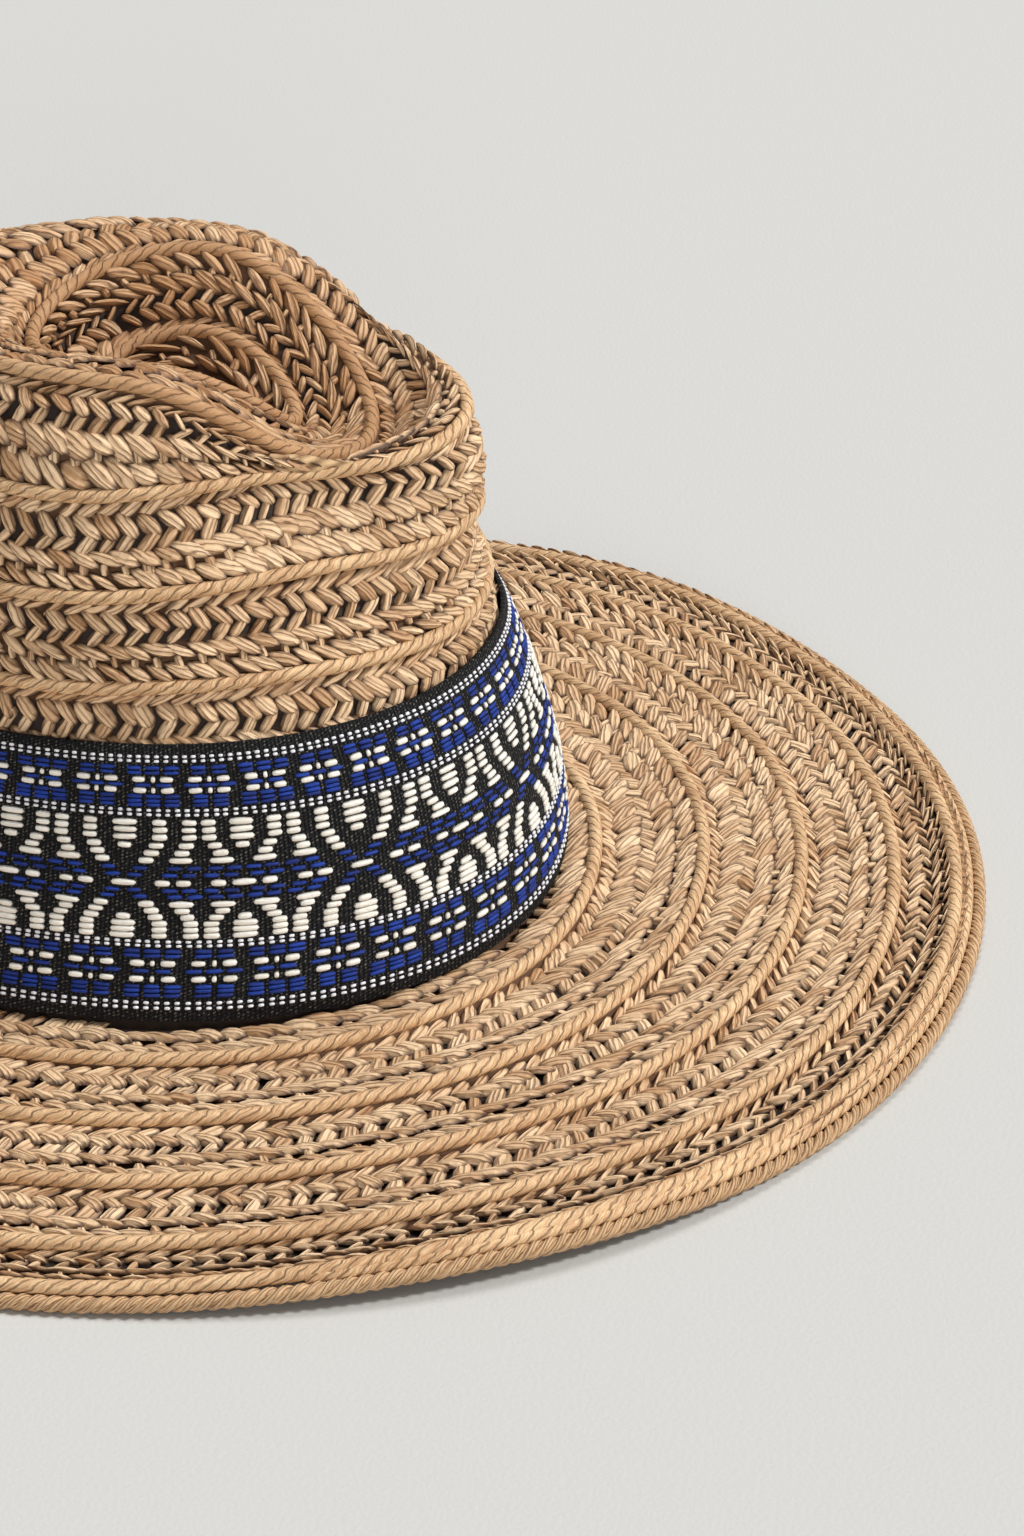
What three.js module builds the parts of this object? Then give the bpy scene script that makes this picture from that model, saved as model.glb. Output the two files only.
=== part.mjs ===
import * as THREE from 'three';
import { mergeVertices } from 'three/addons/utils/BufferGeometryUtils.js';

// A straw hat with a pinched crown and a wide brim, sewn from one long plait in a spiral.
// Lengths are in millimetres. The hat lies on its brim at Z = 0, and its front looks along -Y.

// Foot of the crown, an egg-shaped oval measured from the tip's place above it
const FOOT_HALF_WIDTH = 82;
const FOOT_HALF_FRONT = 83.5;
const FOOT_HALF_BACK = 96;
const OVAL_FULLNESS = 2.14;

// Crown and brim
const CROWN_HEIGHT = 135;
const BRIM_WIDTH = 93;
const BRIM_HEIGHT = 6;
const BRIM_SLIM = 9;
const BRIM_AHEAD = 4.5;
const EDGE_LIFT = 3;

// Plait: its thickness, and how far a row's outer edge stands up over the next row
const PLAIT_THICKNESS = 1.8;
const LAP_STEP = 1.4;

// Creases beside the front of the crown
const PINCH_ANGLE = 50;
const PINCH_SPREAD = 30;

// Trim
const CORD_DIAMETER = 3.6;
const BAND_WIDTH = 60;
const BAND_THICKNESS = 1.5;
const CLEARANCE = 0.3;

// Rows of plait, counted outward from the tip: the crown ends part of the way through its ninth row
const CROWN_ROWS = 8.4;
const HAT_ROWS = 13;
const SPIRAL_START = 75;

// Steps of the mesh: round the hat, round the edge cord and up the band
const STATIONS = 64;
const CORD_SIDES = 8;
const BAND_STEPS = 6;

// Rows of the crown where the mesh of its inner side has a ring
const INSIDE_ROWS = [7.4, 6.4, 5.4, 4.4, 3.6, 3, 2.6, 2.25, 1.9, 1.5, 1, 0.5, 0];

// Small step along the rows for slopes and for measuring, and the distance at which corners are one
const ROW_STEP = 0.02;
const MERGE_DISTANCE = 1e-3;

// Sections of the crown, by rows of plait from its tip. side, front and back are shares of the foot's
// half-lengths. sideUp, frontUp and backUp are shares of CROWN_HEIGHT.
const CROWN_SECTIONS = [
  { row: 0, side: 0, front: 0, back: 0, sideUp: 0.8, frontUp: 0.8, backUp: 0.8 },
  { row: 0.5, side: 0.205, front: 0.263, back: 0.24, sideUp: 0.875, frontUp: 0.785, backUp: 0.855 },
  { row: 1, side: 0.285, front: 0.363, back: 0.29, sideUp: 0.935, frontUp: 0.785, backUp: 0.895 },
  { row: 1.5, side: 0.38, front: 0.463, back: 0.375, sideUp: 0.98, frontUp: 0.775, backUp: 0.935 },
  { row: 2, side: 0.54, front: 0.605, back: 0.525, sideUp: 0.985, frontUp: 0.8, backUp: 0.99 },
  { row: 2.5, side: 0.61, front: 0.727, back: 0.605, sideUp: 0.925, frontUp: 0.835, backUp: 0.983 },
  { row: 3, side: 0.66, front: 0.803, back: 0.66, sideUp: 0.82, frontUp: 0.78, backUp: 0.9 },
  { row: 4, side: 0.738, front: 0.78, back: 0.742, sideUp: 0.674, frontUp: 0.615, backUp: 0.738 },
  { row: 5, side: 0.774, front: 0.82, back: 0.8125, sideUp: 0.532, frontUp: 0.476, backUp: 0.591 },
  { row: 6, side: 0.805, front: 0.9, back: 0.88, sideUp: 0.373, frontUp: 0.332, backUp: 0.428 },
  { row: 7, side: 0.88, front: 0.965, back: 0.932, sideUp: 0.213, frontUp: 0.184, backUp: 0.25 },
  { row: CROWN_ROWS, side: 1, front: 1, back: 1, sideUp: 0, frontUp: 0, backUp: 0 },
];

// Creases beside the front at the same rows. pinch is a share of the section's own reach, and dip a
// share of CROWN_HEIGHT. The wearer's left side keeps only a part of the dip.
const CREASE_SECTIONS = [
  { row: 0, pinch: 0, dip: 0 },
  { row: 1, pinch: 0, dip: 0 },
  { row: 1.5, pinch: 0, dip: 0.045 },
  { row: 2, pinch: 0.03, dip: 0.075 },
  { row: 2.5, pinch: 0.15, dip: 0.055 },
  { row: 3, pinch: 0.25, dip: 0 },
  { row: 4, pinch: 0.14, dip: 0 },
  { row: 5, pinch: 0.06, dip: 0 },
  { row: 6, pinch: 0.01, dip: 0 },
  { row: 7, pinch: 0, dip: 0 },
];
const LEFT_DIP_SHARE = 0.15;

// Rows of the brim. out is a share of BRIM_WIDTH, and high a share of BRIM_HEIGHT.
const BRIM_SECTIONS = [
  { row: CROWN_ROWS, out: 0, high: 1 },
  { row: 9, out: 0.166, high: 1 },
  { row: 10, out: 0.412, high: 1 },
  { row: 11, out: 0.647, high: 0.92 },
  { row: 12, out: 0.867, high: 0.77 },
  { row: HAT_ROWS, out: 1, high: 0.6 },
];

// One row of plait from its inner edge to its outer one: where in the row, and its share of LAP_STEP
const ROW_PROFILE = [
  { part: 0.06, rise: 0 },
  { part: 0.55, rise: 0.5 },
  { part: 0.94, rise: 1 },
];
const LAP_FADE = 0.35;

const radians = THREE.MathUtils.degToRad;

// Value of one column of a section table at a row, on a smooth curve through the table's values
function sectionValue(sections, column, row) {
  const last = sections.length - 1;
  let i = 0;
  while (i < last - 1 && row >= sections[i + 1].row) i += 1;
  const slope = (a, b) => (sections[b][column] - sections[a][column]) / (sections[b].row - sections[a].row);
  const slopeAt = (k) => {
    if (k === 0) return slope(0, 1);
    if (k === last) return slope(last - 1, last);
    const before = sections[k].row - sections[k - 1].row;
    const after = sections[k + 1].row - sections[k].row;
    return (slope(k - 1, k) * after + slope(k, k + 1) * before) / (before + after);
  };
  const width = sections[i + 1].row - sections[i].row;
  const t = THREE.MathUtils.clamp((row - sections[i].row) / width, 0, 1);
  const start = sections[i][column];
  const end = sections[i + 1][column];
  const cubic = (1 + 2 * t) * (1 - t) ** 2 * start + t * t * (3 - 2 * t) * end;
  return cubic + width * (t * (1 - t) ** 2 * slopeAt(i) + t * t * (t - 1) * slopeAt(i + 1));
}

// Turn is the angle in degrees from the hat's front, growing towards the wearer's left (+X).
// The unit oval is a superellipse: forward and sideways reach of a section with half-lengths of 1.
function unitOval(turn) {
  const forward = Math.cos(radians(turn));
  const sideways = Math.sin(radians(turn));
  const power = Math.abs(forward) ** OVAL_FULLNESS + Math.abs(sideways) ** OVAL_FULLNESS;
  const reach = power ** (-1 / OVAL_FULLNESS);
  return { forward: forward * reach, sideways: sideways * reach };
}

// Blend of a value at the side, front and back of the hat
function aroundHat(turn, side, front, back) {
  const forward = Math.cos(radians(turn));
  return forward > 0
    ? side + (front - side) * forward ** 2
    : side + (back - side) * forward ** 2;
}

function crownPoint(turn, row) {
  const at = (column) => sectionValue(CROWN_SECTIONS, column, row);
  const { forward, sideways } = unitOval(turn);
  const fromFront = THREE.MathUtils.radToDeg(Math.acos(Math.cos(radians(turn))));
  const crease = Math.exp(-(((fromFront - PINCH_ANGLE) / PINCH_SPREAD) ** 2));
  const creaseAt = (column) => sectionValue(CREASE_SECTIONS, column, row) * crease;
  const pinch = 1 - creaseAt('pinch');
  const length = forward > 0 ? FOOT_HALF_FRONT * at('front') : FOOT_HALF_BACK * at('back');
  const dip = creaseAt('dip') * (sideways > 0 ? LEFT_DIP_SHARE : 1);
  const high = aroundHat(turn, at('sideUp'), at('frontUp'), at('backUp')) - dip;
  return new THREE.Vector3(
    FOOT_HALF_WIDTH * at('side') * sideways * pinch,
    -length * forward * pinch,
    BRIM_HEIGHT - PLAIT_THICKNESS + CROWN_HEIGHT * high,
  );
}

// The edge lies flat on the floor in three stretches, and rises a little between them
function edgeWave(turn) {
  return EDGE_LIFT * Math.max(0, -Math.cos(radians(3 * turn))) ** 2;
}

// Point at a distance outward from the foot of the crown, level with the floor
function besideFoot(turn, out) {
  const { forward, sideways } = unitOval(turn);
  const length = forward > 0 ? FOOT_HALF_FRONT : FOOT_HALF_BACK;
  const outward = new THREE.Vector3(sideways / FOOT_HALF_WIDTH, -forward / length, 0).normalize();
  return new THREE.Vector3(FOOT_HALF_WIDTH * sideways, -length * forward, 0).addScaledVector(outward, out);
}

// Distance from the crown's foot to a share of the brim's width. The spiral leaves the left side slimmer,
// and the brim reaches a little further ahead.
function brimReach(turn, share) {
  const slim = BRIM_SLIM * share ** 2 * (1 + Math.sin(radians(turn))) / 2;
  const ahead = BRIM_AHEAD * share * Math.max(0, Math.cos(radians(turn))) ** 2;
  return CLEARANCE + (BRIM_WIDTH - CLEARANCE) * share + ahead - slim;
}

function brimPoint(turn, row) {
  const share = sectionValue(BRIM_SECTIONS, 'out', row);
  const point = besideFoot(turn, brimReach(turn, share));
  point.z = BRIM_HEIGHT * sectionValue(BRIM_SECTIONS, 'high', row) + edgeWave(turn) * share ** 2;
  return point;
}

// Outward normal of the crown or upward normal of the brim
function normalAt(surface, turn, row) {
  if (row < ROW_STEP) return new THREE.Vector3(0, 0, 1);
  const along = surface(turn + 1, row).sub(surface(turn - 1, row));
  const across = surface(turn, row + ROW_STEP).sub(surface(turn, row - ROW_STEP));
  return across.cross(along).normalize();
}

// How far along the spiral's turn the plait is, from 0 to 1
function spiralTurn(turn) {
  return THREE.MathUtils.euclideanModulo((turn + SPIRAL_START) / 360, 1);
}

// Rise of the plait's face at a row: low where the row before laps over it, high at its own outer edge
function lapRise(turn, row, firstRow, lastRow) {
  const part = THREE.MathUtils.euclideanModulo(row + spiralTurn(turn), 1);
  const marks = [
    { part: ROW_PROFILE.at(-1).part - 1, rise: ROW_PROFILE.at(-1).rise },
    ...ROW_PROFILE,
    { part: ROW_PROFILE[0].part + 1, rise: ROW_PROFILE[0].rise },
  ];
  const i = marks.findIndex((mark) => mark.part > part) - 1;
  const between = (part - marks[i].part) / (marks[i + 1].part - marks[i].part);
  const rise = THREE.MathUtils.lerp(marks[i].rise, marks[i + 1].rise, between);
  const fromEnd = Math.min(row - firstRow, lastRow - row) / LAP_FADE;
  return LAP_STEP * rise * THREE.MathUtils.clamp(fromEnd, 0, 1);
}

function facePoint(surface, turn, row, raised) {
  return surface(turn, row).addScaledVector(normalAt(surface, turn, row), raised);
}

const turnOf = (station) => ((station + 0.5) * 360) / STATIONS - 180;
const stations = Array.from({ length: STATIONS }, (_, station) => turnOf(station));

// Closed mesh from four-cornered faces. Corners that fall together are merged.
class Shell {
  constructor() {
    this.corners = [];
  }

  triangle(a, b, c) {
    const shortest = Math.min(a.distanceTo(b), b.distanceTo(c), c.distanceTo(a));
    if (shortest > MERGE_DISTANCE) this.corners.push(...a.toArray(), ...b.toArray(), ...c.toArray());
  }

  quad(a, b, c, d) {
    this.triangle(a, b, c);
    this.triangle(a, c, d);
  }

  // Faces between closed rings of points, each ring a list with one point for each station
  rings(rings) {
    for (let r = 0; r + 1 < rings.length; r += 1) {
      const inner = rings[r];
      const outer = rings[r + 1];
      for (let i = 0; i < inner.length; i += 1) {
        const next = (i + 1) % inner.length;
        this.quad(inner[i], outer[i], outer[next], inner[next]);
      }
    }
  }

  geometry() {
    const geometry = new THREE.BufferGeometry();
    geometry.setAttribute('position', new THREE.Float32BufferAttribute(this.corners, 3));
    return mergeVertices(geometry, MERGE_DISTANCE);
  }
}

// Face of the straw whose mesh lines follow the plait's spiral from one row to the next
function addSpiralFace(shell, surface, firstRow, lastRow) {
  const columns = [];
  for (let row = Math.floor(firstRow) - 1; row <= Math.ceil(lastRow) + 1; row += 1) {
    for (const { part } of ROW_PROFILE) columns.push(row + part);
  }
  const lines = stations.map((turn) => columns.map((column) => {
    const row = THREE.MathUtils.clamp(column - spiralTurn(turn), firstRow, lastRow);
    return facePoint(surface, turn, row, lapRise(turn, row, firstRow, lastRow));
  }));
  for (let i = 0; i < STATIONS; i += 1) {
    const next = (i + 1) % STATIONS;
    const turnOver = spiralTurn(stations[next]) < spiralTurn(stations[i]);
    const shift = turnOver ? ROW_PROFILE.length : 0;
    for (let j = 0; j + 1 < columns.length; j += 1) {
      const a = Math.max(j - shift, 0);
      const b = Math.max(j + 1 - shift, 0);
      shell.quad(lines[i][j], lines[i][j + 1], lines[next][b], lines[next][a]);
    }
  }
}

const ringAt = (surface, row, raised) => stations.map((turn) => facePoint(surface, turn, row, raised));

function crownGeometry() {
  const shell = new Shell();
  addSpiralFace(shell, crownPoint, 0, CROWN_ROWS);
  const inside = [CROWN_ROWS, ...INSIDE_ROWS].map((row) => ringAt(crownPoint, row, -PLAIT_THICKNESS));
  shell.rings([ringAt(crownPoint, CROWN_ROWS, 0), ...inside]);
  return shell.geometry();
}

function brimGeometry() {
  const shell = new Shell();
  addSpiralFace(shell, brimPoint, CROWN_ROWS, HAT_ROWS);
  const inward = BRIM_SECTIONS.map(({ row }) => row).reverse();
  const under = inward.map((row) => ringAt(brimPoint, row, -PLAIT_THICKNESS));
  shell.rings([ringAt(brimPoint, HAT_ROWS, 0), ...under, ringAt(brimPoint, CROWN_ROWS, 0)]);
  return shell.geometry();
}

// Twisted cord along the brim's sewn edge. Its lowest side is flat and lies on the floor.
function cordGeometry() {
  const shell = new Shell();
  const radius = CORD_DIAMETER / 2;
  const corner = radius / Math.cos(Math.PI / CORD_SIDES);
  const rings = [];
  for (let side = 0; side <= CORD_SIDES; side += 1) {
    const angle = ((side + 0.5) * 2 * Math.PI) / CORD_SIDES;
    rings.push(stations.map((turn) => {
      const out = brimReach(turn, 1) + CLEARANCE + radius - corner * Math.cos(angle);
      const point = besideFoot(turn, out);
      point.z = radius + corner * Math.sin(angle) + edgeWave(turn);
      return point;
    }));
  }
  shell.rings(rings);
  return shell.geometry();
}

// Row of plait that lies a given way up the crown's face from its foot
function rowAbove(turn, distance) {
  let row = CROWN_ROWS;
  let climbed = 0;
  let here = crownPoint(turn, row);
  while (climbed < distance && row > ROW_STEP) {
    row -= ROW_STEP;
    const there = crownPoint(turn, row);
    climbed += here.distanceTo(there);
    here = there;
  }
  return row;
}

// Woven ribbon, drawn tight over the laps of the plait
function bandGeometry() {
  const shell = new Shell();
  const bandFoot = PLAIT_THICKNESS + LAP_STEP + CLEARANCE;
  const seat = LAP_STEP + CLEARANCE;
  const inner = [];
  const outer = [];
  for (let k = 0; k <= BAND_STEPS; k += 1) {
    const distance = bandFoot + (BAND_WIDTH * k) / BAND_STEPS;
    const rows = stations.map((turn) => rowAbove(turn, distance));
    inner.push(stations.map((turn, i) => facePoint(crownPoint, turn, rows[i], seat)));
    outer.push(stations.map((turn, i) => facePoint(crownPoint, turn, rows[i], seat + BAND_THICKNESS)));
  }
  shell.rings([...outer.reverse(), ...inner, outer[0]]);
  return shell.geometry();
}

function finish(color, roughness) {
  return new THREE.MeshStandardMaterial({ color, roughness, metalness: 0 });
}

function piece(name, geometry, material) {
  const mesh = new THREE.Mesh(geometry, material);
  mesh.name = name;
  return mesh;
}

const hat = new THREE.Group();
hat.add(
  piece('crown', crownGeometry(), finish(0xc8a578, 0.75)),
  piece('brim', brimGeometry(), finish(0xc6a274, 0.75)),
  piece('brim_cord', cordGeometry(), finish(0xbf9868, 0.75)),
  piece('hat_band', bandGeometry(), finish(0x1f3f8c, 0.8)),
);

// The origin is below the middle of the hat's outline
const outline = new THREE.Box3().setFromObject(hat);
hat.position.set(-(outline.min.x + outline.max.x) / 2, -(outline.min.y + outline.max.y) / 2, 0);

export default hat;
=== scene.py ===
# %% [markdown]
# # A straw hat, dressed in plait and ribbon
#
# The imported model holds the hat's form: a pinched crown, a wide brim, the cord along its edge and the
# woven band. Here those forms get their surface. The whole hat is one long plait of straw, sewn in a
# spiral from the tip of the crown to the edge of the brim, so nearly everything below follows two
# numbers: how many turns the plait has run, and how far across the plait a strand lies.

# %% Load the frame
import math

import bmesh
import bpy
import numpy as np
from mathutils import Matrix, Vector


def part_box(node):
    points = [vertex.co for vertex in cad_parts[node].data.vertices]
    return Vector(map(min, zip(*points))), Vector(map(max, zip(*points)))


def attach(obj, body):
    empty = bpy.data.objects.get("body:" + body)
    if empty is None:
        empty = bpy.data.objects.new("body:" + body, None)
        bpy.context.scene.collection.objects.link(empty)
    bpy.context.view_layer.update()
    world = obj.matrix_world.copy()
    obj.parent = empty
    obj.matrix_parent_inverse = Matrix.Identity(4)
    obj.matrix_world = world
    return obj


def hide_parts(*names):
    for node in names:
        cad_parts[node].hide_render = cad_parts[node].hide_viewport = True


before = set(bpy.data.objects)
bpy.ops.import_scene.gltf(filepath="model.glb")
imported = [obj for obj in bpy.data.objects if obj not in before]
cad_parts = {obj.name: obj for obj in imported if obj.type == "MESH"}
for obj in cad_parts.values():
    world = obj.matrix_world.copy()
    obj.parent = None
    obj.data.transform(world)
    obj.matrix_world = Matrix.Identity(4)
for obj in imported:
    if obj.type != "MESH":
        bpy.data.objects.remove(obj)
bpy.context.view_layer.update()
MM = 0.001

# %% [markdown]
# ## The camera
#
# The photograph looks at the wearer's right side of the hat, a little from above, with a long lens. The
# camera's place was found by matching the crown, the band and the brim's edge, so it is given as two
# angles and a distance from a point inside the hat.

# %% The camera
VIEW_SIDE = math.radians(-82.22)
VIEW_ABOVE = math.radians(28.61)
VIEW_DISTANCE = 1003.76
VIEW_POINT = Vector((4.48, -4, 40))
VIEW_RIGHT, VIEW_UP = 73.06, -14.39
PHOTO_LONG_SIDE, FOCAL_PIXELS = 1536, 4487

away = Vector((
    math.sin(VIEW_SIDE) * math.cos(VIEW_ABOVE),
    -math.cos(VIEW_SIDE) * math.cos(VIEW_ABOVE),
    math.sin(VIEW_ABOVE),
))
rightward = Vector((math.cos(VIEW_SIDE), math.sin(VIEW_SIDE), 0))
upward = away.cross(rightward)
camera_data = bpy.data.cameras.new("camera")
camera_data.sensor_width = 36
camera_data.lens = camera_data.sensor_width * FOCAL_PIXELS / PHOTO_LONG_SIDE
camera_data.clip_end = 20
camera = bpy.data.objects.new("camera", camera_data)
camera.location = (VIEW_POINT + VIEW_RIGHT * rightward + VIEW_UP * upward + VIEW_DISTANCE * away) * MM
camera.rotation_euler = (-away).to_track_quat("-Z", "Y").to_euler()
bpy.context.scene.collection.objects.link(camera)
bpy.context.scene.camera = camera
print("camera at", [round(x, 3) for x in camera.location], "lens", round(camera_data.lens, 1))

# %% [markdown]
# ## Shader arithmetic
#
# A finish is mostly arithmetic on a few patterns. Wrapping a node's output in a small class lets Python's
# own operators add the Math nodes, so a recipe reads as a formula instead of a list of links.

# %% A wire and a finish
class Wire:
    """The output of one node. Arithmetic on it adds Math nodes to the same finish."""

    def __init__(self, finish, socket):
        self.finish = finish
        self.socket = socket

    def math(self, operation, *values):
        return self.finish.node("ShaderNodeMath", {"operation": operation}, dict(enumerate(values)))

    def __add__(self, other):
        return self.math("ADD", self, other)

    def __sub__(self, other):
        return self.math("SUBTRACT", self, other)

    def __rsub__(self, other):
        return self.math("SUBTRACT", other, self)

    def __mul__(self, other):
        return self.math("MULTIPLY", self, other)

    def __truediv__(self, other):
        return self.math("DIVIDE", self, other)

    __radd__ = __add__
    __rmul__ = __mul__

    def above(self, edge):
        return self.math("GREATER_THAN", self, edge)

    def sine(self):
        return self.math("SINE", self)

    def wave(self):
        """A sine between 0 and 1."""
        return self.sine() * 0.5 + 0.5

    def size(self):
        return self.math("ABSOLUTE", self)

    def between(self, low, high):
        """0 below low, 1 above high and a smooth slope from one to the other."""
        settings = {"interpolation_type": "SMOOTHSTEP"}
        return self.finish.node("ShaderNodeMapRange", settings, {"Value": self, 1: low, 2: high})


class Finish:
    """A material made of nodes, ending in one Principled shader."""

    def __init__(self, name, **fixed):
        self.material = bpy.data.materials.new(name)
        self.material.use_nodes = True
        self.tree = self.material.node_tree
        self.shader = self.tree.nodes["Principled BSDF"]
        for socket, value in fixed.items():
            self.shader.inputs[socket.replace("_", " ")].default_value = value

    def node(self, kind, settings=None, inputs=None, output=0):
        made = self.tree.nodes.new(kind)
        for name, value in (settings or {}).items():
            setattr(made, name, value)
        for socket, value in (inputs or {}).items():
            if isinstance(value, Wire):
                self.tree.links.new(value.socket, made.inputs[socket])
            else:
                made.inputs[socket].default_value = value
        return Wire(self, made.outputs[output])

    def mix(self, factor, first, second):
        """The first colour where the factor is 0, and the second where it is 1."""
        return self.node("ShaderNodeMix", {"data_type": "RGBA"}, {0: factor, 6: first, 7: second}, 2)

    def chart(self):
        """The place on the piece's own map."""
        return self.node("ShaderNodeUVMap", {"uv_map": "chart"})

    def directions(self, chart):
        """The two directions of the map: along the strand or cloth, and across it."""
        along = self.node("ShaderNodeSeparateXYZ", {}, {"Vector": chart}, "X")
        return along, Wire(self, along.socket.node.outputs["Y"])

    def attribute(self, name):
        return self.node("ShaderNodeAttribute", {"attribute_name": name}, {}, "Fac")

    def stretched(self, place, scale):
        return self.node("ShaderNodeMapping", {}, {"Vector": place, "Scale": scale})

    def noise(self, place, scale, detail=3):
        inputs = {"Vector": place, "Scale": scale, "Detail": detail}
        return self.node("ShaderNodeTexNoise", {}, inputs)

    def object_noise(self, scale):
        """Noise that runs on through the whole piece, whatever its map."""
        return self.noise(self.node("ShaderNodeTexCoord", {}, {}, "Object"), scale)

    def finish(self, **varying):
        for socket, wire in varying.items():
            self.tree.links.new(wire.socket, self.shader.inputs[socket.replace("_", " ")])
        return self.material

    def bump(self, height, distance, strength=1.0):
        return self.node("ShaderNodeBump", {}, {"Height": height, "Distance": distance, "Strength": strength})


def colour(red, green, blue):
    """A colour given as it looks on a screen, from 0 to 255, in the linear values that shaders use."""
    shares = (c / 255 for c in (red, green, blue))
    return (*(s / 12.92 if s <= 0.04045 else ((s + 0.055) / 1.055) ** 2.4 for s in shares), 1)

# %% [markdown]
# ## Floor and light
#
# The hat lies on a pale sheet of card that runs on past the picture. Its light is that of a studio: the
# main light comes from the front of the hat, on the right in the picture, and rakes along the plait. A soft
# one hangs overhead, a low one stands beside the camera, and pale surroundings fill the shadows. Sun lamps
# do this well, because they light the whole card alike.

# %% The floor
FLOOR_SIZE = 12
floor_mesh = bmesh.new()
bmesh.ops.create_grid(floor_mesh, x_segments=4, y_segments=4, size=FLOOR_SIZE / 2)
floor_data = bpy.data.meshes.new("floor")
floor_mesh.to_mesh(floor_data)
floor_mesh.free()
floor = bpy.data.objects.new("floor", floor_data)
bpy.context.scene.collection.objects.link(floor)
card = Finish("pale_card", Roughness=0.9)
card_grain = card.object_noise(900)
floor_data.materials.append(card.finish(
    Base_Color=card.mix(card_grain, colour(195, 194, 190), colour(198, 197, 193)),
    Normal=card.bump(card_grain, 0.0001),
))

# %% The light
def soft_light(name, comes_from, strength, spread):
    data = bpy.data.lights.new(name, "SUN")
    data.energy = strength
    data.angle = math.radians(spread)
    light = bpy.data.objects.new(name, data)
    light.rotation_euler = Vector(comes_from).to_track_quat("Z", "Y").to_euler()
    bpy.context.scene.collection.objects.link(light)


soft_light("main", (0.15, -0.8, 0.7), 2.7, 10)
soft_light("overhead", (0.3, 0.1, 1), 1.25, 30)
soft_light("beside_camera", (-0.95, -0.25, 0.2), 1.25, 22)
surroundings = bpy.data.worlds.new("surroundings")
surroundings.use_nodes = True
surroundings.node_tree.nodes["Background"].inputs["Color"].default_value = (0.97, 0.98, 1, 1)
surroundings.node_tree.nodes["Background"].inputs["Strength"].default_value = 0.28
bpy.context.scene.world = surroundings
bpy.context.scene.view_settings.view_transform = "Standard"

# %% [markdown]
# ## The form of the hat
#
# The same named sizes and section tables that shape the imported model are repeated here, because the
# strands have to lie on exactly that form. The lengths are in millimetres. "Turn" is the angle from the
# front of the hat, growing towards the wearer's left, and "row" counts rows of plait from the tip.

# %% Sizes of the form
FOOT_HALF_WIDTH, FOOT_HALF_FRONT, FOOT_HALF_BACK = 82, 83.5, 96
OVAL_FULLNESS = 2.14
CROWN_HEIGHT, BRIM_WIDTH, BRIM_HEIGHT = 135, 93, 6
BRIM_SLIM, BRIM_AHEAD, EDGE_LIFT = 9, 4.5, 3
PLAIT_THICKNESS, LAP_STEP = 1.8, 1.4
PINCH_ANGLE, PINCH_SPREAD = 50, 30
CORD_DIAMETER, BAND_WIDTH, CLEARANCE = 3.6, 60, 0.3
CROWN_ROWS, HAT_ROWS, SPIRAL_START = 8.4, 13, 75
LEFT_DIP_SHARE = 0.15
ROW_STEP, FIRST_BRIM_ROW = 0.02, CROWN_ROWS + 1e-6


def table(names, *lines):
    """The columns of a table that is written line by line, under their names."""
    return dict(zip(names.split(), np.array(lines, float).T))


CROWN = table(
    "row side front back side_up front_up back_up",
    (0, 0, 0, 0, 0.8, 0.8, 0.8),
    (0.5, 0.205, 0.263, 0.24, 0.875, 0.785, 0.855),
    (1, 0.285, 0.363, 0.29, 0.935, 0.785, 0.895),
    (1.5, 0.38, 0.463, 0.375, 0.98, 0.775, 0.935),
    (2, 0.54, 0.605, 0.525, 0.985, 0.8, 0.99),
    (2.5, 0.61, 0.727, 0.605, 0.925, 0.835, 0.983),
    (3, 0.66, 0.803, 0.66, 0.82, 0.78, 0.9),
    (4, 0.738, 0.78, 0.742, 0.674, 0.615, 0.738),
    (5, 0.774, 0.82, 0.8125, 0.532, 0.476, 0.591),
    (6, 0.805, 0.9, 0.88, 0.373, 0.332, 0.428),
    (7, 0.88, 0.965, 0.932, 0.213, 0.184, 0.25),
    (CROWN_ROWS, 1, 1, 1, 0, 0, 0),
)
CREASES = table(
    "row pinch dip",
    (0, 0, 0), (1, 0, 0), (1.5, 0, 0.045), (2, 0.03, 0.075), (2.5, 0.15, 0.055),
    (3, 0.25, 0), (4, 0.14, 0), (5, 0.06, 0), (6, 0.01, 0), (7, 0, 0),
)
BRIM = table(
    "row out high",
    (CROWN_ROWS, 0, 1),
    (9, 0.166, 1),
    (10, 0.412, 1),
    (11, 0.647, 0.92),
    (12, 0.867, 0.77),
    (HAT_ROWS, 1, 0.6),
)
print("sections:", len(CROWN["row"]), "on the crown,", len(BRIM["row"]), "on the brim")

# %% Points on the form
def section_value(sections, column, row):
    """Values on a smooth curve through one column of a table, at many rows at once."""
    rows, values = sections["row"], sections[column]
    widths = np.diff(rows)
    steps = np.diff(values) / widths
    inner = (steps[:-1] * widths[1:] + steps[1:] * widths[:-1]) / (widths[:-1] + widths[1:])
    slopes = np.concatenate([steps[:1], inner, steps[-1:]])
    i = np.clip(np.searchsorted(rows, row, side="right") - 1, 0, len(rows) - 2)
    t = np.clip((row - rows[i]) / widths[i], 0, 1)
    cubic = (1 + 2 * t) * (1 - t) ** 2 * values[i] + t * t * (3 - 2 * t) * values[i + 1]
    return cubic + widths[i] * (t * (1 - t) ** 2 * slopes[i] + t * t * (t - 1) * slopes[i + 1])


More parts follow.
